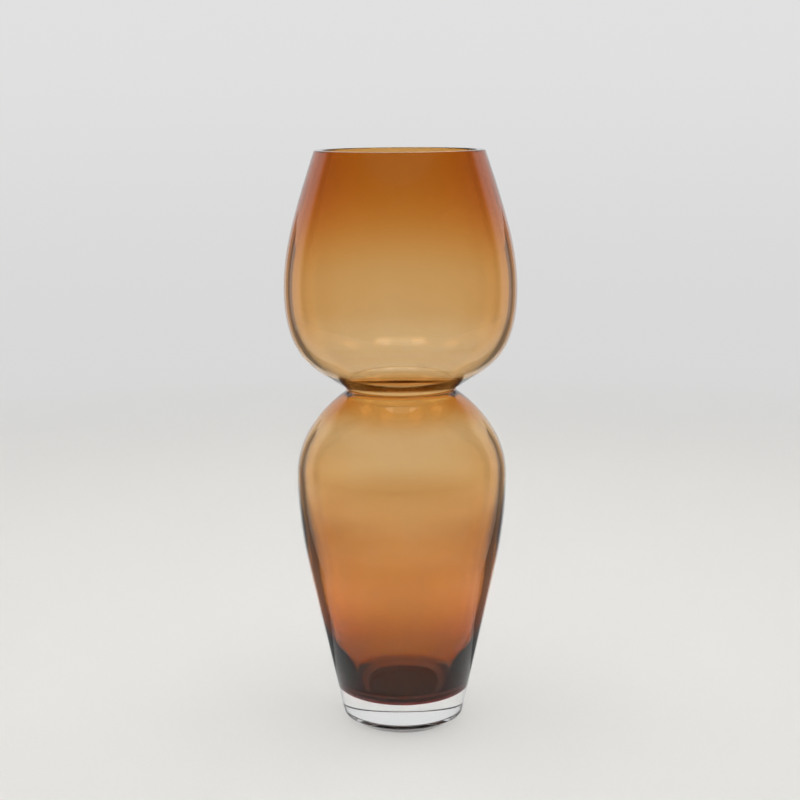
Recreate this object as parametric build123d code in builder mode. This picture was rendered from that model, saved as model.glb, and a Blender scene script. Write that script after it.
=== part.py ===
"""Gourd vase of cased glass: amber lining, clear casing and a heavy clear base, in millimetres, +Z up."""

import os
from math import cos, radians, sin, tan

from build123d import *

# Heights above the table
overall_height = 400.0
upper_bulb_height = 306.0  # widest ring of the upper bulb
waist_height = 237.5  # bottom of the crease between the bulbs
lower_bulb_height = 177.0  # widest ring of the lower bulb
taper_height = 112.0  # the lower bulb's side runs straight below this
bowl_height = 52.0  # the inside runs straight below this, down to its floor
base_height = 17.0  # thickness of the base
heel_height = 5.0  # the base's bottom edge is bevelled below this
recess_height = 6.2  # hollow under the base
lining_floor_thickness = 2.0
casing_floor_thickness = 4.5
throat_drop = 39.5  # from the rim down to the ring where the upper bulb draws in
underside_rise = 20.5  # from the waist up to the ring under the upper bulb
shoulder_drop = 23.6  # from the waist down to the ring on the lower bulb's shoulder

# Radii of the outer face
rim_radius = 57.4
throat_radius = 70.2
upper_bulb_radius = 79.4
underside_radius = 64.3
waist_radius = 38.0
shoulder_radius = 60.4
lower_bulb_radius = 72.4
taper_radius = 65.3
base_radius = 44.9  # where the lower casing stands on the base
foot_radius = 34.5  # outer edge of the flat ring that stands on the table
recess_radius = 32.0  # inner edge of that ring
recess_top_radius = 30.5

# Form of the outer face
rim_lean = 19.0  # degrees the wall leans in at the rim
crease_rounding = 3.2
crease_turn = 55.0  # degrees the wall turns out of the crease, up and down
heel_rounding = 1.5  # where the bevel meets the side
recess_rounding = 0.8  # where the hollow's side meets its top

# Form of the faces inside the wall
seam_crease_rounding = 8.8
upper_inside_turn = 63.0  # degrees the inner faces turn out of the waist, up
lower_inside_turn = 52.0  # and down
bowl_lean = 21.0  # degrees the inner faces lean in where they run straight
floor_rounding = 12.5  # between the inside's wall and its flat floor

# Clear casing's thickness, measured level
rim_casing = 4.0
throat_casing = 4.8
upper_bulb_casing = 4.6
underside_casing = 6.0
waist_casing = 4.1
shoulder_casing = 5.6
lower_bulb_casing = 4.1
taper_casing = 5.6
bowl_casing = 6.0

# Amber lining's thickness, measured level
rim_lining = 1.8
throat_lining = 1.5
upper_bulb_lining = 0.7
underside_lining = 0.65
waist_lining = 0.5
shoulder_lining = 0.6
lower_bulb_lining = 0.6
taper_lining = 0.9
bowl_lining = 1.7

rim_rounding = 0.8  # of the mouth's two edges

# Heights, radii and roundings that follow from the sizes above
throat_height = overall_height - throat_drop
underside_height = waist_height + underside_rise
shoulder_height = waist_height - shoulder_drop
taper_slope = (taper_radius - base_radius) / (taper_height - base_height)
bowl_radius = base_radius + taper_slope * (bowl_height - base_height)
heel_radius = base_radius + taper_slope * (heel_height - base_height)
casing_floor_height = base_height + casing_floor_thickness
lining_floor_height = casing_floor_height + lining_floor_thickness
inside_crease_rounding = seam_crease_rounding + waist_lining

# Faces of the upper bulb: depth under the outer face at each ring, and the turn out of the waist
upper_outside = {
    "crease": crease_rounding,
    "turn": crease_turn,
    "waist": 0.0,
    "underside": 0.0,
    "bulb": 0.0,
    "throat": 0.0,
    "rim": 0.0,
}
upper_seam = {
    "crease": seam_crease_rounding,
    "turn": upper_inside_turn,
    "waist": waist_casing,
    "underside": underside_casing,
    "bulb": upper_bulb_casing,
    "throat": throat_casing,
    "rim": rim_casing,
}
upper_inside = {
    "crease": inside_crease_rounding,
    "turn": upper_inside_turn,
    "waist": waist_casing + waist_lining,
    "underside": underside_casing + underside_lining,
    "bulb": upper_bulb_casing + upper_bulb_lining,
    "throat": throat_casing + throat_lining,
    "rim": rim_casing + rim_lining,
}

# Faces of the lower bulb: depth under the outer face at each ring, and the turn out of the waist
lower_outside = {
    "crease": crease_rounding,
    "turn": crease_turn,
    "waist": 0.0,
    "shoulder": 0.0,
    "bulb": 0.0,
}
lower_seam = {
    "crease": seam_crease_rounding,
    "turn": lower_inside_turn,
    "waist": waist_casing,
    "shoulder": shoulder_casing,
    "bulb": lower_bulb_casing,
    "taper": taper_casing,
    "bowl": bowl_casing,
}
lower_inside = {
    "crease": inside_crease_rounding,
    "turn": lower_inside_turn,
    "waist": waist_casing + waist_lining,
    "shoulder": shoulder_casing + shoulder_lining,
    "bulb": lower_bulb_casing + lower_bulb_lining,
    "taper": taper_casing + taper_lining,
    "bowl": bowl_casing + bowl_lining,
}


def upper_face(face):
    """Draws one face of the upper bulb's wall from the waist up to the rim."""
    crease = JernArc(
        start=(waist_radius - face["waist"], waist_height),
        tangent=(0, 1),
        radius=face["crease"],
        arc_size=-face["turn"],
    )
    belly = Spline(
        crease @ 1,
        (underside_radius - face["underside"], underside_height),
        (upper_bulb_radius - face["bulb"], upper_bulb_height),
        tangents=(crease % 1, (0, 1)),
    )
    lean = (-sin(radians(rim_lean)), cos(radians(rim_lean)))
    neck = Spline(
        belly @ 1,
        (throat_radius - face["throat"], throat_height),
        (rim_radius - face["rim"], overall_height),
        tangents=((0, 1), lean),
    )
    return crease @ 0, neck @ 1


def lower_shoulder(face):
    """Draws one face of the lower bulb's wall from the waist down to the widest ring."""
    crease = JernArc(
        start=(waist_radius - face["waist"], waist_height),
        tangent=(0, -1),
        radius=face["crease"],
        arc_size=face["turn"],
    )
    shoulder = Spline(
        crease @ 1,
        (shoulder_radius - face["shoulder"], shoulder_height),
        (lower_bulb_radius - face["bulb"], lower_bulb_height),
        tangents=(crease % 1, (0, -1)),
    )
    return crease @ 0, shoulder @ 1


def lower_outer_face():
    """Draws the lower bulb's outer face from the waist down to the base."""
    top, widest = lower_shoulder(lower_outside)
    flank = Spline(
        widest,
        (taper_radius, taper_height),
        tangents=((0, -1), (-taper_slope, -1)),
    )
    taper = Line(flank @ 1, (base_radius, base_height))
    return top, taper @ 1


def lower_inner_face(face, floor_height):
    """Draws one face inside the lower bulb's wall from the waist down to the middle of the floor."""
    top, widest = lower_shoulder(face)
    flank = Spline(
        widest,
        (taper_radius - face["taper"], taper_height),
        (bowl_radius - face["bowl"], bowl_height),
        tangents=((0, -1), (-sin(radians(bowl_lean)), -cos(radians(bowl_lean)))),
    )
    wall_drop = bowl_height - floor_height
    corner_radius = bowl_radius - face["bowl"] - wall_drop * tan(radians(bowl_lean))
    bowl = FilletPolyline(
        flank @ 1,
        (corner_radius, floor_height),
        (0, floor_height),
        radius=floor_rounding,
    )
    return top, bowl @ 1


# Base: heavy clear disc with a bevelled bottom edge, on a flat ring round a shallow hollow
with BuildPart() as base:
    with BuildSketch(Plane.XZ):
        with BuildLine():
            recess = FilletPolyline(
                (0, recess_height),
                (recess_top_radius, recess_height),
                (recess_radius, 0),
                radius=recess_rounding,
            )
            foot = Line(recess @ 1, (foot_radius, 0))
            heel = FilletPolyline(
                foot @ 1,
                (heel_radius, heel_height),
                (base_radius, base_height),
                radius=heel_rounding,
            )
            top = Line(heel @ 1, (0, base_height))
            Line(top @ 1, recess @ 0)
        make_face()
    revolve(axis=Axis.Z)
base.part.label = "base"

# Lower casing: clear wall of the lower bulb with a floor that stands on the base
with BuildPart() as lower_casing:
    with BuildSketch(Plane.XZ):
        with BuildLine():
            outer_top, outer_end = lower_outer_face()
            seam_top, seam_end = lower_inner_face(lower_seam, casing_floor_height)
            Polyline(outer_end, (0, base_height), seam_end)
            Line(seam_top, outer_top)
        make_face()
    revolve(axis=Axis.Z)
lower_casing.part.label = "lower_casing"

# Lower lining: amber layer on the inside of the lower casing, walls and floor
with BuildPart() as lower_lining:
    with BuildSketch(Plane.XZ):
        with BuildLine():
            seam_top, seam_end = lower_inner_face(lower_seam, casing_floor_height)
            inside_top, inside_end = lower_inner_face(lower_inside, lining_floor_height)
            Line(seam_end, inside_end)
            Line(inside_top, seam_top)
        make_face()
    revolve(axis=Axis.Z)
lower_lining.part.label = "lower_lining"

# Upper casing: clear wall of the upper bulb, from the waist to the mouth
with BuildPart() as upper_casing:
    with BuildSketch(Plane.XZ):
        with BuildLine():
            outer_start, outer_rim = upper_face(upper_outside)
            seam_start, seam_rim = upper_face(upper_seam)
            Line(outer_rim, seam_rim)
            Line(seam_start, outer_start)
        make_face()
    revolve(axis=Axis.Z)
    mouth = upper_casing.edges().filter_by(GeomType.CIRCLE).group_by(Axis.Z)[-1]
    fillet(mouth.sort_by(SortBy.RADIUS)[-1], radius=rim_rounding)
upper_casing.part.label = "upper_casing"

# Upper lining: amber layer on the inside of the upper casing, open at the waist and the mouth
with BuildPart() as upper_lining:
    with BuildSketch(Plane.XZ):
        with BuildLine():
            seam_start, seam_rim = upper_face(upper_seam)
            inside_start, inside_rim = upper_face(upper_inside)
            Line(seam_rim, inside_rim)
            Line(inside_start, seam_start)
        make_face()
    revolve(axis=Axis.Z)
    mouth = upper_lining.edges().filter_by(GeomType.CIRCLE).group_by(Axis.Z)[-1]
    fillet(mouth.sort_by(SortBy.RADIUS)[0], radius=rim_rounding)
upper_lining.part.label = "upper_lining"

os.makedirs("parts", exist_ok=True)
export_step(base.part, "parts/base.step")
export_step(lower_casing.part, "parts/lower_casing.step")
export_step(lower_lining.part, "parts/lower_lining.step")
export_step(upper_casing.part, "parts/upper_casing.step")
export_step(upper_lining.part, "parts/upper_lining.step")
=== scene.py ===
"""Dresses the gourd vase: clear glass cased over an amber lining, in a plain white studio."""

import logging
import math
from dataclasses import dataclass, field
from enum import Enum

import bpy
from mathutils import Matrix, Vector
from mathutils.geometry import interpolate_bezier


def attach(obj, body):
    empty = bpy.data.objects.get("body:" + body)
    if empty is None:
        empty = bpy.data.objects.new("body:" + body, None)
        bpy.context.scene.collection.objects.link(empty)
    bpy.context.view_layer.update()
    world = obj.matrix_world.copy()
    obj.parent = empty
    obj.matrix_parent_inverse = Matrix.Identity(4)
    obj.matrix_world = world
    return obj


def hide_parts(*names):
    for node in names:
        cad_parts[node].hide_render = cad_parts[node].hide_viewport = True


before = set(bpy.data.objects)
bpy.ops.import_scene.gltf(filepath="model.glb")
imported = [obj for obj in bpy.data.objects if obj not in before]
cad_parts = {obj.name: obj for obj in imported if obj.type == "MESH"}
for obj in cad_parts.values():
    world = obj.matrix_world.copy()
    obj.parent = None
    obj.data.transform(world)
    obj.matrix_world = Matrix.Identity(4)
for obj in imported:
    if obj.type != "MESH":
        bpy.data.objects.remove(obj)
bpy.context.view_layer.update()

LOG = logging.getLogger("gourd_vase")
MM = 0.001  # sizes below are in millimetres, the scene is in metres
TURN_STEPS = 192  # slices round the axis
CURVE_STEPS = 32  # stretches of outline between two rings
ROUND_STEPS = 16  # stretches of outline on a rounded corner
SMOOTH_ANGLE = 35.0  # degrees; edges that turn more stay sharp
HAIR = 0.03  # gap that keeps two surfaces of glass from lying in one place
GLASS_INDEX = 1.52  # how much soda glass bends light
BASE_HEIGHT = 17.0  # the lower bulb stands on the base here
BASE_RADIUS = 44.9
REFLECTED_ONCE = 0.5  # the count of reflections is whole, so these lie halfway below it
REFLECTED_TWICE = 1.5


class Face(Enum):
    """Faces of the wall, from the outside in."""

    OUTSIDE = "outside"
    SEAM = "seam"
    LINING = "lining"  # the lining's own inner face, a hair under the inside
    INSIDE = "inside"


@dataclass(frozen=True)
class Ring:
    """One level ring of the wall, in millimetres."""

    height: float
    radius: float
    casing: float
    lining: float

    def on(self, face: Face) -> Vector:
        """Returns the ring's radius and height on one face of the wall."""
        depths = {
            Face.OUTSIDE: 0.0,
            Face.SEAM: self.casing,
            Face.LINING: self.casing + self.lining - HAIR,
            Face.INSIDE: self.casing + self.lining,
        }
        return Vector((self.radius - depths[face], self.height))


def smooth_curve(points: list[Vector], start: Vector, end: Vector) -> list[Vector]:
    """Draws the smooth curve through two or three rings of the wall.

    It is a cubic spline over the lengths of its chords, with a set direction at each end.

    Args:
        points: Radius and height of each ring, in order.
        start: Direction at the first ring.
        end: Direction at the last ring.

    Returns:
        Points along the curve, without the first one.
    """
    chords = [(there - here).length for here, there in zip(points, points[1:])]
    trends = [(there - here) / chord for here, there, chord in zip(points, points[1:], chords)]
    bend = (trends[-1] - trends[0]) / sum(chords)
    first = trends[0] - bend * chords[0]
    last = trends[-1] + bend * chords[-1]
    slopes = [
        start * ((abs(first.x) + abs(first.y)) / (abs(start.x) + abs(start.y))),
        end * ((abs(last.x) + abs(last.y)) / (abs(end.x) + abs(end.y))),
    ]
    if len(points) == 3:
        pull = 3 * (trends[0] / chords[0] + trends[1] / chords[1])
        pull -= slopes[0] / chords[0] + slopes[1] / chords[1]
        slopes.insert(1, pull / (2 / chords[0] + 2 / chords[1]))
    curve = []
    for index, chord in enumerate(chords):
        here, there = points[index], points[index + 1]
        handle = here + slopes[index] * chord / 3
        other = there - slopes[index + 1] * chord / 3
        curve += interpolate_bezier(here, handle, other, there, CURVE_STEPS + 1)[1:]
    return curve


def rounded_corner(before: Vector, corner: Vector, after: Vector, rounding: float) -> list[Vector]:
    """Rounds one corner of an outline.

    Args:
        before: Point of the outline before the corner.
        corner: The sharp corner.
        after: Point of the outline after the corner.
        rounding: Radius of the rounding, in millimetres.

    Returns:
        Points along the rounding, from the side of before to the side of after.
    """
    one, two = (before - corner).normalized(), (after - corner).normalized()
    half = one.angle(two) / 2
    middle = corner + (one + two).normalized() * rounding / math.sin(half)
    arm = corner + one * rounding / math.tan(half) - middle
    side = 1 if one.x * two.y - one.y * two.x < 0 else -1
    sweep = side * (math.pi - 2 * half)
    turns = [Matrix.Rotation(sweep * step / ROUND_STEPS, 2) for step in range(ROUND_STEPS + 1)]
    return [middle + turn @ arm for turn in turns]


def spin_piece(name: str, outline: list[Vector]) -> bpy.types.Object:
    """Spins an outline about the vase's axis into one closed piece.

    Args:
        name: Name of the new piece.
        outline: Radius and height of each point, in millimetres, in order.

    Returns:
        The piece, at the origin, unturned and unscaled.
    """
    places = [Vector((point.x, 0, point.y)) * MM for point in outline]
    bpy.ops.object.select_all(action="DESELECT")
    bpy.ops.mesh.primitive_plane_add(size=MM, location=places[0])
    piece = bpy.context.object
    piece.name = piece.data.name = name
    bpy.ops.object.mode_set(mode="EDIT")
    bpy.ops.mesh.merge(type="CENTER")
    for here, there in zip(places, places[1:]):
        bpy.ops.mesh.extrude_region_move(TRANSFORM_OT_translate={"value": there - here})
    bpy.ops.mesh.select_all(action="SELECT")
    bpy.ops.mesh.spin(steps=TURN_STEPS, angle=math.tau, center=(0, 0, 0), axis=(0, 0, 1))
    bpy.ops.mesh.select_all(action="SELECT")
    bpy.ops.mesh.remove_doubles(threshold=HAIR * MM / 10)
    bpy.ops.mesh.normals_make_consistent(inside=False)
    bpy.ops.object.mode_set(mode="OBJECT")
    bpy.ops.object.transform_apply(location=True, rotation=True, scale=True)
    bpy.ops.object.shade_smooth_by_angle(angle=math.radians(SMOOTH_ANGLE))
    return piece


def linear(colour: str, alpha: float = 1.0) -> tuple[float, float, float, float]:
    """Turns an sRGB hex colour into linear light."""
    shares = [int(colour[place : place + 2], 16) / 255 for place in (0, 2, 4)]
    light = [((s + 0.055) / 1.055) ** 2.4 if s > 0.04045 else s / 12.92 for s in shares]
    return (*light, alpha)


def add_node(tree: bpy.types.NodeTree, kind: str, settings: dict, links: dict) -> bpy.types.Node:
    """Adds one shader node.

    Args:
        tree: Node tree that takes the node.
        kind: Type of the node, without its prefix.
        settings: Values by the name or place of an input, or by the name of a property.
        links: Output sockets by the name or place of the input they go to.

    Returns:
        The new node.
    """
    node = tree.nodes.new("ShaderNode" + kind)
    for key, value in settings.items():
        if isinstance(key, int) or key in node.inputs:
            node.inputs[key].default_value = value
        else:
            setattr(node, key, value)
    for key, socket in links.items():
        tree.links.new(socket, node.inputs[key])
    return node


def new_material(name: str) -> tuple[bpy.types.Material, bpy.types.NodeTree]:
    """Starts a material with an empty node tree."""
    material = bpy.data.materials.new(name)
    material.use_nodes = True
    material.node_tree.nodes.clear()
    return material, material.node_tree


def math_node(
    tree: bpy.types.NodeTree,
    operation: str,
    first: bpy.types.NodeSocket,
    second: bpy.types.NodeSocket | float,
) -> bpy.types.NodeSocket:
    """Adds one sum, product or comparison.

    Args:
        tree: Node tree that takes the node.
        operation: What is done with the two values.
        first: Socket that gives the first value.
        second: Socket that gives the second value, or the value itself.

    Returns:
        The socket with the result.
    """
    plain = isinstance(second, float)
    settings = {"operation": operation} | ({1: second} if plain else {})
    links = {0: first} | ({} if plain else {1: second})
    return add_node(tree, "Math", settings, links).outputs["Value"]


def soft_step(
    tree: bpy.types.NodeTree, value: bpy.types.NodeSocket, start: float, end: float
) -> bpy.types.NodeSocket:
    """Adds a soft step.

    Args:
        tree: Node tree that takes the node.
        value: Socket that gives the value.
        start: Value at which the step is 0.
        end: Value at which the step is 1.

    Returns:
        The socket with the step.
    """
    settings = {"interpolation_type": "SMOOTHSTEP", "From Min": start, "From Max": end}
    return add_node(tree, "MapRange", settings, {"Value": value}).outputs["Result"]


def drawn_noise(
    tree: bpy.types.NodeTree, place: bpy.types.NodeSocket, size: float, detail: float, upright: float = 1.0
) -> bpy.types.NodeSocket:
    """Adds a noise that can be drawn out along the vase's axis.

    Args:
        tree: Node tree that takes the nodes.
        place: Socket that gives the place on the object.
        size: Size of the noise, in millimetres.
        detail: Steps of finer noise in it.
        upright: Its scale along the axis; the smaller, the longer the streaks.

    Returns:
        The socket with the noise, from 0 to 1.
    """
    drawn = add_node(tree, "Mapping", {"Scale": (1.0, 1.0, upright)}, {"Vector": place})
    settings = {"Scale": 1 / (size * MM), "Detail": detail}
    return add_node(tree, "TexNoise", settings, {"Vector": drawn.outputs["Vector"]}).outputs["Fac"]


@dataclass(frozen=True)
class ClearGlass:
    """Colourless soda glass, blown and fire polished: clear, with a faint ripple left by the blowing."""

    colour: str = "FEFFFF"
    ripple_size: float = 42.0
    ripple_detail: float = 1.0
    ripple_upright: float = 0.4
    ripple_height: float = 0.05
    haze_size: float = 6.0
    haze_detail: float = 3.0
    haze_span: tuple[float, float] = (0.4, 0.8)  # part of the noise that takes the polish off
    haze_roughness: float = 0.015
    ground_roughness: float = 0.3
    ground_height: float = 0.05  # the ground foot ends here

    def material(self) -> bpy.types.Material:
        """Makes the material; only the flat ground foot is rough."""
        material, tree = new_material("clear_soda_glass_blown")
        place = add_node(tree, "TexCoord", {}, {}).outputs["Object"]
        ripple = drawn_noise(tree, place, self.ripple_size, self.ripple_detail, self.ripple_upright)
        bump = add_node(
            tree, "Bump", {"Strength": 1.0, "Distance": self.ripple_height * MM}, {"Height": ripple}
        )
        least, most = self.haze_span
        haze = add_node(
            tree,
            "MapRange",
            {"From Min": least, "From Max": most, "To Min": 0.0, "To Max": self.haze_roughness},
            {"Value": drawn_noise(tree, place, self.haze_size, self.haze_detail)},
        )
        foot = add_node(
            tree,
            "MapRange",
            {
                "From Min": 0.0,
                "From Max": self.ground_height * MM,
                "To Min": self.ground_roughness,
                "To Max": 0.0,
            },
            {"Value": add_node(tree, "SeparateXYZ", {}, {"Vector": place}).outputs["Z"]},
        )
        rough = math_node(tree, "ADD", haze.outputs["Result"], foot.outputs["Result"])
        glass = add_node(
            tree,
            "BsdfPrincipled",
            {"Base Color": linear(self.colour), "Transmission Weight": 1.0, "IOR": GLASS_INDEX},
            {"Roughness": rough, "Normal": bump.outputs["Normal"]},
        )
        add_node(tree, "OutputMaterial", {}, {"Surface": glass.outputs["BSDF"]})
        return material


@dataclass(frozen=True)
class Shade:
    """A tint of the amber that comes in with height and may go out again, in millimetres."""

    colour: str
    rise: tuple[float, float]
    fall: tuple[float, float] | None = None

    def over(
        self, tree: bpy.types.NodeTree, height: bpy.types.NodeSocket, colour: bpy.types.NodeSocket
    ) -> bpy.types.NodeSocket:
        """Lays the tint over a colour.

        Args:
            tree: Node tree that takes the nodes.
            height: Socket that gives the height, in metres.
            colour: Socket that gives the colour so far.

        Returns:
            The socket with the tinted colour.
        """
        share = soft_step(tree, height, *(level * MM for level in self.rise))
        if self.fall:
            fall = soft_step(tree, height, *(level * MM for level in self.fall))
            share = math_node(tree, "MULTIPLY", share, fall)
        settings = {"data_type": "RGBA", "blend_type": "MULTIPLY", 7: linear(self.colour)}
        return add_node(tree, "Mix", settings, {0: share, 6: colour}).outputs[2]


@dataclass(frozen=True)
class AmberGlass:
    """Amber soda glass fused into the clear glass: no sheen of its own, deeper where it is thicker."""

    absorption: tuple[float, float, float] = (42.0, 455.0, 1190.0)  # per metre
    streak_size: float = 16.0
    streak_detail: float = 2.0
    streak_upright: float = 0.15
    pale: str = "FFFFFF"
    deep: str = "FEFAF4"
    shades: tuple[Shade, ...] = (
        Shade("E6F0FA", (300.0, 400.0)),  # brown towards the mouth
        Shade("E6F0FA", (110.0, 20.0)),  # and towards the floor
        Shade("DDD3D6", (92.0, 40.0)),  # darker low in the lower bulb
        Shade("B8B6B6", (29.0, 24.0)),  # and a neutral grey on the thick floor, painted shade for the dark that lies under the vase
        Shade("ECDCC2", (170.0, 142.0), (94.0, 128.0)),  # deeper where the lower bulb starts to taper
        Shade("F4D6A0", (210.0, 228.0), (244.0, 238.0)),  # and at its neck
    )

    def material(self) -> bpy.types.Material:
        """Makes the material; drawn-out streaks vary the colour a little."""
        material, tree = new_material("amber_soda_glass_cased")
        place = add_node(tree, "TexCoord", {}, {}).outputs["Object"]
        height = add_node(tree, "SeparateXYZ", {}, {"Vector": place}).outputs["Z"]
        colour = add_node(
            tree,
            "Mix",
            {"data_type": "RGBA", 6: linear(self.pale), 7: linear(self.deep)},
            {0: drawn_noise(tree, place, self.streak_size, self.streak_detail, self.streak_upright)},
        ).outputs[2]
        for shade in self.shades:
            colour = shade.over(tree, height, colour)
        glass = add_node(
            tree,
            "BsdfPrincipled",
            {"Roughness": 0.0, "Transmission Weight": 1.0, "IOR": 1.0},
            {"Base Color": colour},
        )
        density = max(self.absorption)
        passed = [1 - share / density for share in self.absorption]
        body = add_node(tree, "VolumeAbsorption", {"Color": (*passed, 1.0), "Density": density}, {})
        add_node(
            tree,
            "OutputMaterial",
            {},
            {"Surface": glass.outputs["BSDF"], "Volume": body.outputs["Volume"]},
        )
        return material


class FusedJoint:
    """Face where two pieces of clear glass are melted together: nothing is left to see."""

    def material(self) -> bpy.types.Material:
        """Makes the material."""
        material, tree = new_material("clear_glass_fused_joint")
        glass = add_node(
            tree,
            "BsdfPrincipled",
            {"Alpha": 0.0, "Roughness": 0.0, "Transmission Weight": 1.0, "IOR": GLASS_INDEX},
            {},
        )
        add_node(tree, "OutputMaterial", {}, {"Surface": glass.outputs["BSDF"]})
        return material


@dataclass
class Finishes:
    """The materials that the pieces share."""

    clear: bpy.types.Material = field(default_factory=lambda: ClearGlass().material())
    amber: bpy.types.Material = field(default_factory=lambda: AmberGlass().material())
    joint: bpy.types.Material = field(default_factory=lambda: FusedJoint().material())

    def dress_clear(self, piece: bpy.types.Object, joint_heights: tuple[float, ...]) -> None:
        """Gives a piece clear glass, and its fused faces the joint's finish.

        Args:
            piece: The piece to dress.
            joint_heights: Heights of the level faces that are fused to a neighbour, in millimetres.
        """
        piece.data.materials.append(self.clear)
        piece.data.materials.append(self.joint)
        for face in piece.data.polygons:
            level = abs(face.normal.z) > 0.9
            fused = any(abs(face.center.z - height * MM) < HAIR * MM for height in joint_heights)
            face.material_index = 1 if level and fused else 0

    def dress_amber(self, piece: bpy.types.Object) -> None:
        """Gives a piece amber glass."""
        piece.data.materials.append(self.amber)


def place_in_frame(piece: bpy.types.Object, node: str) -> bpy.types.Object:
    """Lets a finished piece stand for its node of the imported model."""
    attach(piece, "root")
    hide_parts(node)
    LOG.info("%s: %d faces", node, len(piece.data.polygons))
    return piece


@dataclass(frozen=True)
class Bulb:
    """What both bulbs share: the wall's turn out of the waist, in millimetres and degrees."""

    waist: Ring = Ring(237.5, 38.0, 4.1, 0.5)
    outside_rounding: float = 3.2
    seam_rounding: float = 8.8
    outside_turn: float = 55.0
    inside_turn: float = 63.0
    way: int = 1  # up from the waist, or -1 for down

    def crease(self, face: Face) -> tuple[list[Vector], Vector]:
        """Draws the wall's turn out of the waist.

        Args:
            face: Face of the wall.

        Returns:
            Points along the turn, and the direction in which it ends.
        """
        roundings = {
            Face.OUTSIDE: self.outside_rounding,
            Face.SEAM: self.seam_rounding,
            Face.LINING: self.seam_rounding + self.waist.lining,
            Face.INSIDE: self.seam_rounding + self.waist.lining,
        }
        turn = math.radians(self.outside_turn if face is Face.OUTSIDE else self.inside_turn)
        angles = [turn * step / ROUND_STEPS for step in range(ROUND_STEPS + 1)]
        points = [
            self.waist.on(face) + roundings[face] * Vector((1 - math.cos(a), self.way * math.sin(a)))
            for a in angles
        ]
        return points, Vector((math.sin(turn), self.way * math.cos(turn)))


@dataclass(frozen=True)
class UpperBulb(Bulb):
    """The upper bulb, from the waist to the mouth."""

    underside: Ring = Ring(258.0, 64.3, 6.0, 0.65)
    bulb: Ring = Ring(306.0, 79.4, 4.6, 0.7)
    throat: Ring = Ring(360.5, 70.2, 4.8, 1.5)
    rim: Ring = Ring(400.0, 57.4, 4.0, 1.8)
    rim_lean: float = 19.0
    rim_rounding: float = 0.8

    def wall(self, face: Face) -> list[Vector]:
        """Draws one face of the wall from the waist up to the rim."""
        crease, ahead = self.crease(face)
        up = Vector((0, 1))
        lean = Vector((-math.sin(math.radians(self.rim_lean)), math.cos(math.radians(self.rim_lean))))
        belly = smooth_curve([crease[-1], self.underside.on(face), self.bulb.on(face)], ahead, up)
        neck = smooth_curve([belly[-1], self.throat.on(face), self.rim.on(face)], up, lean)
        return crease + belly + neck

    def build_casing(self, finishes: Finishes) -> bpy.types.Object:
        """Makes the clear glass of the wall, which also fills the lining's room, and a rounded rim."""
        outside = self.wall(Face.OUTSIDE)
        inside = self.wall(Face.INSIDE)[::-1]
        edge = rounded_corner(outside[-2], outside[-1], inside[0], self.rim_rounding)
        lip = rounded_corner(outside[-1], inside[0], inside[1], self.rim_rounding)
        piece = spin_piece("upper_casing", outside[:-1] + edge + lip + inside[1:] + outside[:1])
        finishes.dress_clear(piece, (self.waist.height,))
        return place_in_frame(piece, "upper_casing")

    def build_lining(self, finishes: Finishes) -> bpy.types.Object:
        """Makes the amber layer inside the wall; it ends a hair under the rim's top."""
        seam = self.wall(Face.SEAM)
        inner = self.wall(Face.LINING)[::-1]
        lip = rounded_corner(seam[-1], inner[0], inner[1], self.rim_rounding)
        outline = seam + lip + inner[1:] + seam[:1]
        top = self.rim.height - HAIR
        piece = spin_piece("upper_lining", [Vector((p.x, min(p.y, top))) for p in outline])
        finishes.dress_amber(piece)
        return place_in_frame(piece, "upper_lining")


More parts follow.
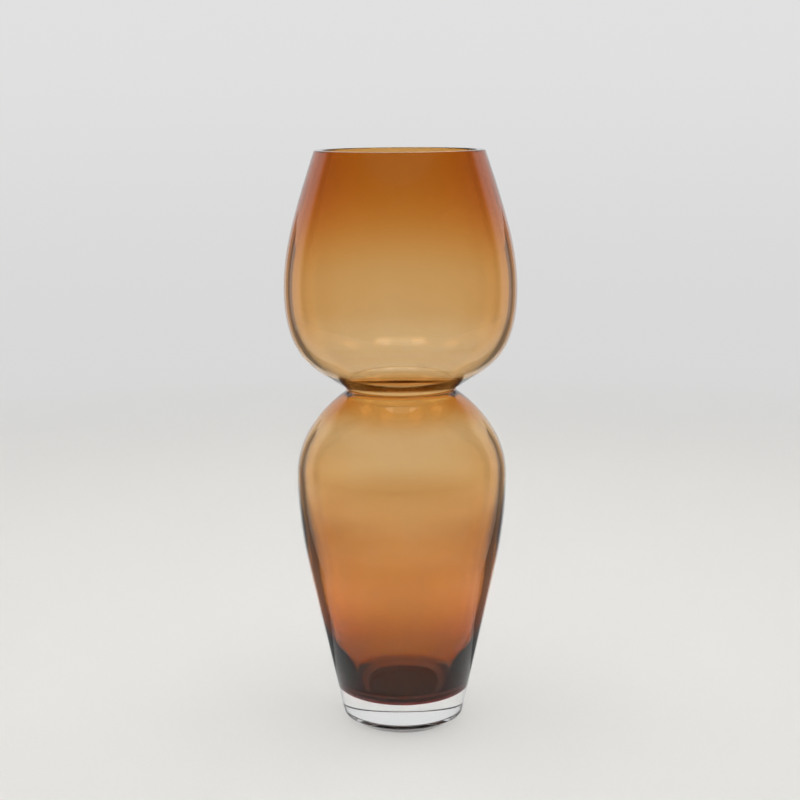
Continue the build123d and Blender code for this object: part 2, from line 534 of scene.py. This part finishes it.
@dataclass(frozen=True)
class LowerBulb(Bulb):
    """The lower bulb, from the waist down to the base, with a flat floor inside."""

    inside_turn: float = 52.0
    way: int = -1
    shoulder: Ring = Ring(213.9, 60.4, 5.6, 0.6)
    bulb: Ring = Ring(177.0, 72.4, 4.1, 0.6)
    taper: Ring = Ring(112.0, 65.3, 5.6, 0.9)
    bowl_height: float = 52.0
    bowl_casing: float = 6.0
    bowl_lining: float = 1.7
    bowl_lean: float = 21.0
    floor_rounding: float = 12.5
    seam_floor_height: float = 21.5
    inside_floor_height: float = 23.5

    def slope(self) -> float:
        """Returns how much the outside's straight side widens for each millimetre up."""
        return (self.taper.radius - BASE_RADIUS) / (self.taper.height - BASE_HEIGHT)

    def shoulder_wall(self, face: Face) -> list[Vector]:
        """Draws one face of the wall from the waist down to the widest ring."""
        crease, ahead = self.crease(face)
        rings = [crease[-1], self.shoulder.on(face), self.bulb.on(face)]
        return crease + smooth_curve(rings, ahead, Vector((0, -1)))

    def outer_wall(self) -> list[Vector]:
        """Draws the outer face from the waist down to the base."""
        wall = self.shoulder_wall(Face.OUTSIDE)
        side = Vector((-self.slope(), -1))
        wall += smooth_curve([wall[-1], self.taper.on(Face.OUTSIDE)], Vector((0, -1)), side)
        return wall + [Vector((BASE_RADIUS, BASE_HEIGHT))]

    def inner_wall(self, face: Face) -> list[Vector]:
        """Draws one face inside the wall, from the waist down to the middle of the floor."""
        floors = {
            Face.SEAM: self.seam_floor_height,
            Face.LINING: self.inside_floor_height - HAIR,
            Face.INSIDE: self.inside_floor_height,
        }
        wall = self.shoulder_wall(face)
        lean = math.radians(self.bowl_lean)
        radius = BASE_RADIUS + self.slope() * (self.bowl_height - BASE_HEIGHT)
        bowl = Ring(self.bowl_height, radius, self.bowl_casing, self.bowl_lining).on(face)
        way = Vector((-math.sin(lean), -math.cos(lean)))
        wall += smooth_curve([wall[-1], self.taper.on(face), bowl], Vector((0, -1)), way)
        corner = Vector((bowl.x - (bowl.y - floors[face]) * math.tan(lean), floors[face]))
        middle = Vector((0, floors[face]))
        return wall + rounded_corner(bowl, corner, middle, self.floor_rounding) + [middle]

    def build_casing(self, finishes: Finishes) -> bpy.types.Object:
        """Makes the clear glass of the wall and floor, which also fills the lining's room."""
        outline = self.outer_wall()[::-1] + self.inner_wall(Face.INSIDE)
        piece = spin_piece("lower_casing", [Vector((0, BASE_HEIGHT))] + outline)
        finishes.dress_clear(piece, (self.waist.height, BASE_HEIGHT))
        return place_in_frame(piece, "lower_casing")

    def build_lining(self, finishes: Finishes) -> bpy.types.Object:
        """Makes the amber layer inside the wall and on the floor."""
        outline = self.inner_wall(Face.SEAM)[::-1] + self.inner_wall(Face.LINING)
        piece = spin_piece("lower_lining", outline)
        finishes.dress_amber(piece)
        return place_in_frame(piece, "lower_lining")


@dataclass(frozen=True)
class Base:
    """The heavy clear disc under the lower bulb, on a flat ring round a shallow hollow."""

    heel_height: float = 5.0
    heel_radius: float = 42.323  # in line with the lower bulb's straight side
    heel_rounding: float = 1.5
    foot_radius: float = 34.5
    recess_radius: float = 32.0
    recess_top_radius: float = 30.5
    recess_height: float = 6.2
    recess_rounding: float = 0.8

    def outline(self) -> list[Vector]:
        """Draws the disc from the middle of the hollow, round the heel, to the middle of the top."""
        middle = Vector((0, self.recess_height))
        inner, outer = Vector((self.recess_radius, 0)), Vector((self.foot_radius, 0))
        edge = Vector((self.recess_top_radius, self.recess_height))
        heel = Vector((self.heel_radius, self.heel_height))
        side = Vector((BASE_RADIUS, BASE_HEIGHT))
        hollow = [middle] + rounded_corner(middle, edge, inner, self.recess_rounding)
        flank = rounded_corner(outer, heel, side, self.heel_rounding)
        return hollow + [inner, outer] + flank + [side, Vector((0, BASE_HEIGHT))]

    def build(self, finishes: Finishes) -> bpy.types.Object:
        """Makes the solid disc."""
        piece = spin_piece("base", self.outline())
        finishes.dress_clear(piece, (BASE_HEIGHT,))
        return place_in_frame(piece, "base")


@dataclass(frozen=True)
class Paper:
    """Matt white paper, rolled: even, with a faint fibre that only close views show."""

    colour: str = "E9E8E6"
    fibre: str = "E4E3E0"
    fibre_size: float = 1.2
    fibre_detail: float = 2.0
    roughness: float = 0.9
    far_light: tuple[float, float] = (0.69, 0.75)  # light from the wall, at its foot and higher up
    wall_height: float = 600.0
    fade: tuple[float, float] = (950.0, 1400.0)  # the wall's light fades between these heights
    lit_radius: tuple[float, float] = (700.0, 1500.0)  # lamps light the floor inside, it glows outside
    sides: tuple[float, float] = (0.46, 0.3)  # away from straight back, reflections find a dim room
    dim_distance: tuple[float, float] = (300.0, 1500.0)  # and only away from the vase
    foot_shade: tuple[float, float] = (30.0, 36.0)  # painted shadow: the paper under the foot is painted black
    dimmed: float = 0.86

    def sheet(
        self, tree: bpy.types.NodeTree, place: bpy.types.NodeSocket, distance: bpy.types.NodeSocket
    ) -> bpy.types.NodeSocket:
        """Adds the matt sheet that the lamps light, painted black under the foot as its shadow.

        Args:
            tree: Node tree that takes the nodes.
            place: Socket that gives the place on the paper.
            distance: Socket that gives the distance from the vase, in millimetres.

        Returns:
            The socket with the sheet's shader.
        """
        tint = add_node(
            tree,
            "Mix",
            {"data_type": "RGBA", 6: linear(self.colour), 7: linear(self.fibre)},
            {0: drawn_noise(tree, place, self.fibre_size, self.fibre_detail)},
        )
        # Painted shadow: the paper's colour turns black under the foot
        shaded = add_node(
            tree,
            "Mix",
            {"data_type": "RGBA", 6: linear("000000")},
            {0: soft_step(tree, distance, *self.foot_shade), 7: tint.outputs[2]},
        )
        settings = {"Roughness": self.roughness, "Specular IOR Level": 0.0}
        return add_node(
            tree, "BsdfPrincipled", settings, {"Base Color": shaded.outputs[2]}
        ).outputs["BSDF"]

    def glow(self, tree: bpy.types.NodeTree, height: bpy.types.NodeSocket) -> bpy.types.NodeSocket:
        """Adds the even light of the far wall.

        Args:
            tree: Node tree that takes the nodes.
            height: Socket that gives the height, in millimetres.

        Returns:
            The socket with the wall's shader.
        """
        low, high = self.far_light
        rise = math_node(tree, "MULTIPLY", soft_step(tree, height, 0.0, self.wall_height), high - low)
        level = math_node(tree, "ADD", rise, low)
        fade = math_node(tree, "MULTIPLY", soft_step(tree, height, *self.fade), self.dimmed)
        kept = add_node(tree, "Math", {"operation": "SUBTRACT", 0: 1.0}, {1: fade}).outputs["Value"]
        strength = math_node(tree, "MULTIPLY", level, kept)
        return add_node(tree, "Emission", {}, {"Strength": strength}).outputs["Emission"]

    def dimming(
        self,
        tree: bpy.types.NodeTree,
        back: bpy.types.NodeSocket,
        distance: bpy.types.NodeSocket,
        reflections: bpy.types.NodeSocket,
    ) -> bpy.types.NodeSocket:
        """Adds how much the paper dims for light that the glass reflected.

        Args:
            tree: Node tree that takes the nodes.
            back: Socket that gives the share of the way that leads straight back.
            distance: Socket that gives the distance from the vase, in millimetres.
            reflections: Socket that gives how often the light was reflected.

        Returns:
            The socket with the share of light that is lost.
        """
        once = math_node(tree, "GREATER_THAN", reflections, REFLECTED_ONCE)
        twice = math_node(tree, "GREATER_THAN", reflections, REFLECTED_TWICE)
        away = math_node(tree, "MULTIPLY", soft_step(tree, distance, *self.dim_distance), once)
        aside = math_node(tree, "MULTIPLY", soft_step(tree, back, *self.sides), away)
        return math_node(tree, "MULTIPLY", math_node(tree, "MAXIMUM", aside, twice), self.dimmed)

    def material(self) -> bpy.types.Material:
        """Makes the material: a lit sheet round the vase that turns into the glowing wall."""
        material, tree = new_material("white_paper_matt")
        place = add_node(tree, "TexCoord", {}, {}).outputs["Object"]
        sized = add_node(tree, "VectorMath", {"operation": "SCALE", "Scale": 1 / MM}, {0: place}).outputs[0]
        distance = add_node(tree, "VectorMath", {"operation": "LENGTH"}, {0: sized}).outputs["Value"]
        axes = add_node(tree, "SeparateXYZ", {}, {"Vector": sized}).outputs
        seen = add_node(tree, "LightPath", {}, {}).outputs
        rays = math_node(tree, "MAXIMUM", seen["Is Camera Ray"], seen["Is Glossy Ray"])
        rays = math_node(tree, "MAXIMUM", rays, seen["Is Transmission Ray"])
        far = math_node(tree, "MULTIPLY", soft_step(tree, distance, *self.lit_radius), rays)
        sheet = self.sheet(tree, place, distance)
        lit = add_node(tree, "MixShader", {}, {0: far, 1: sheet, 2: self.glow(tree, axes["Z"])})
        back = math_node(tree, "DIVIDE", axes["Y"], distance)
        dim = self.dimming(tree, back, distance, seen["Glossy Depth"])
        dark = add_node(tree, "Emission", {"Strength": 0.0}, {})
        mixed = add_node(
            tree, "MixShader", {}, {0: dim, 1: lit.outputs["Shader"], 2: dark.outputs["Emission"]}
        )
        add_node(tree, "OutputMaterial", {}, {"Surface": mixed.outputs["Shader"]})
        return material


@dataclass(frozen=True)
class Lamp:
    """One soft box, in millimetres and watts."""

    name: str
    place: tuple[float, float, float]
    size: tuple[float, float]
    power: float
    reflected: bool
    shadow: bool = True

    def build(self) -> bpy.types.Object:
        """Hangs the lamp, facing down."""
        data = bpy.data.lights.new(self.name, "AREA")
        data.shape = "RECTANGLE"
        data.size, data.size_y = (side * MM for side in self.size)
        data.energy = self.power
        data.use_shadow = self.shadow
        # Where a lamp casts no shadow, the glass would still take some of its light from the floor
        data.cycles.use_multiple_importance_sampling = self.shadow
        lamp = bpy.data.objects.new(self.name, data)
        lamp.location = Vector(self.place) * MM
        lamp.visible_camera = False
        lamp.visible_glossy = self.reflected
        lamp.visible_transmission = self.reflected
        bpy.context.scene.collection.objects.link(lamp)
        return lamp


@dataclass(frozen=True)
class Studio:
    """White paper all round, grey cards that only reflections show, soft light, and the camera."""

    floor_height: float = -0.3  # a hair under the foot
    floor_radius: float = 1350.0
    paper_rounding: float = 450.0
    paper_height: float = 1500.0
    card_near: tuple[tuple[float, float], ...] = ((70.0, 60.0), (240.0, 60.0))
    card_far: tuple[tuple[float, float], ...] = ((670.0, 1114.0), (919.0, 919.0))
    card_height: float = 440.0
    card_light: tuple[float, float] = (0.2, 0.25)  # of the lying and the standing card
    room_light: float = 0.12
    glass_bounces: int = 40
    glossy_bounces: int = 12
    camera_distance: float = 1038.5
    camera_height: float = 431.9
    camera_pitch: float = 11.042
    camera_roll: float = -0.396
    camera_lens: float = 68.95
    camera_shift: float = -0.0016
    lamps: tuple[Lamp, ...] = (
        Lamp("overhead_box", (0.0, -100.0, 1200.0), (620.0, 420.0), 0.8, True),
        Lamp("top_box_left", (-280.0, -50.0, 1400.0), (250.0, 400.0), 0.47, True),
        Lamp("top_box_right", (280.0, -50.0, 1400.0), (250.0, 400.0), 0.47, True),
        Lamp("side_box_left", (-740.0, 360.0, 1400.0), (350.0, 350.0), 0.58, True),
        Lamp("side_box_right", (740.0, 360.0, 1400.0), (350.0, 350.0), 0.58, True),
        Lamp("ceiling_wash", (0.0, 0.0, 1650.0), (2400.0, 2400.0), 27.0, False, False),
    )

    def build_paper(self) -> None:
        """Rolls the paper out as a round floor that runs up into a wall."""
        wall = self.floor_radius + self.paper_rounding
        corner = Vector((wall, self.floor_height))
        middle, top = Vector((0, self.floor_height)), Vector((wall, self.paper_height))
        outline = [middle] + rounded_corner(middle, corner, top, self.paper_rounding) + [top]
        paper = spin_piece("paper_sweep", outline)
        paper.data.materials.append(Paper().material())

    def build_card(self, name: str, corners: list[Vector], light: float) -> None:
        """Sets up one flat grey card that only reflections show.

        Args:
            name: Name of the card.
            corners: Its four corners, in millimetres, in the order of a plane's points.
            light: Light that comes from it.
        """
        material, tree = new_material(name + "_matt")
        depth = add_node(tree, "LightPath", {}, {}).outputs["Glossy Depth"]
        once = math_node(tree, "GREATER_THAN", depth, REFLECTED_ONCE)
        clear = add_node(tree, "BsdfTransparent", {}, {})
        grey = add_node(tree, "Emission", {"Strength": light}, {})
        face = add_node(
            tree, "MixShader", {}, {0: once, 1: clear.outputs["BSDF"], 2: grey.outputs["Emission"]}
        )
        add_node(tree, "OutputMaterial", {}, {"Surface": face.outputs["Shader"]})
        bpy.ops.object.select_all(action="DESELECT")
        bpy.ops.mesh.primitive_plane_add(size=1)
        card = bpy.context.object
        card.name = name
        for point, corner in zip(card.data.vertices, corners):
            point.co = corner * MM
        card.data.materials.append(material)
        card.visible_camera = False
        card.visible_diffuse = False
        card.visible_shadow = False

    def build_cards(self) -> None:
        """Lays a grey card to either side behind the vase, and stands one up at its far end."""
        up = Vector((0, 0, self.card_height))
        for side, word in ((-1, "left"), (1, "right")):
            near = [Vector((side * x, y, 0)) for x, y in self.card_near]
            far = [Vector((side * x, y, 0)) for x, y in self.card_far]
            self.build_card("grey_card_lying_" + word, near + far, self.card_light[0])
            high = [corner + up for corner in far]
            self.build_card("grey_card_standing_" + word, far + high, self.card_light[1])

    def build_world(self) -> None:
        """Leaves the room above the paper dim, so that steep reflections in the glass stay dark."""
        world = bpy.data.worlds.new("dim_room")
        bpy.context.scene.world = world
        world.use_nodes = True
        level = self.room_light
        world.node_tree.nodes["Background"].inputs["Color"].default_value = (level, level, level, 1)

    def build_camera(self) -> None:
        """Sets the camera where the photograph was taken from."""
        data = bpy.data.cameras.new("camera")
        data.lens = self.camera_lens
        data.shift_x = self.camera_shift
        camera = bpy.data.objects.new("camera", data)
        tilt = Matrix.Rotation(math.radians(90 - self.camera_pitch), 4, "X")
        roll = Matrix.Rotation(math.radians(self.camera_roll), 4, "Z")
        place = Vector((0, -self.camera_distance, self.camera_height)) * MM
        camera.matrix_world = Matrix.Translation(place) @ tilt @ roll
        bpy.context.scene.collection.objects.link(camera)
        bpy.context.scene.camera = camera

    def build(self) -> None:
        """Sets up the whole studio."""
        self.build_paper()
        self.build_cards()
        self.build_world()
        for lamp in self.lamps:
            lamp.build()
        self.build_camera()
        scene = bpy.context.scene
        scene.view_settings.view_transform = "Standard"
        scene.cycles.max_bounces = self.glass_bounces
        scene.cycles.transmission_bounces = self.glass_bounces
        scene.cycles.transparent_max_bounces = self.glass_bounces
        scene.cycles.glossy_bounces = self.glossy_bounces
        scene.cycles.caustics_reflective = False
        scene.cycles.caustics_refractive = False
        LOG.info("studio: %d lamps", len(self.lamps))


def main() -> None:
    """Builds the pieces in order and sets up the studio."""
    logging.basicConfig(level=logging.INFO, format="%(message)s")
    finishes = Finishes()
    Base().build(finishes)
    lower = LowerBulb()
    lower.build_casing(finishes)
    lower.build_lining(finishes)
    upper = UpperBulb()
    upper.build_casing(finishes)
    upper.build_lining(finishes)
    Studio().build()


if __name__ == "__main__":
    main()
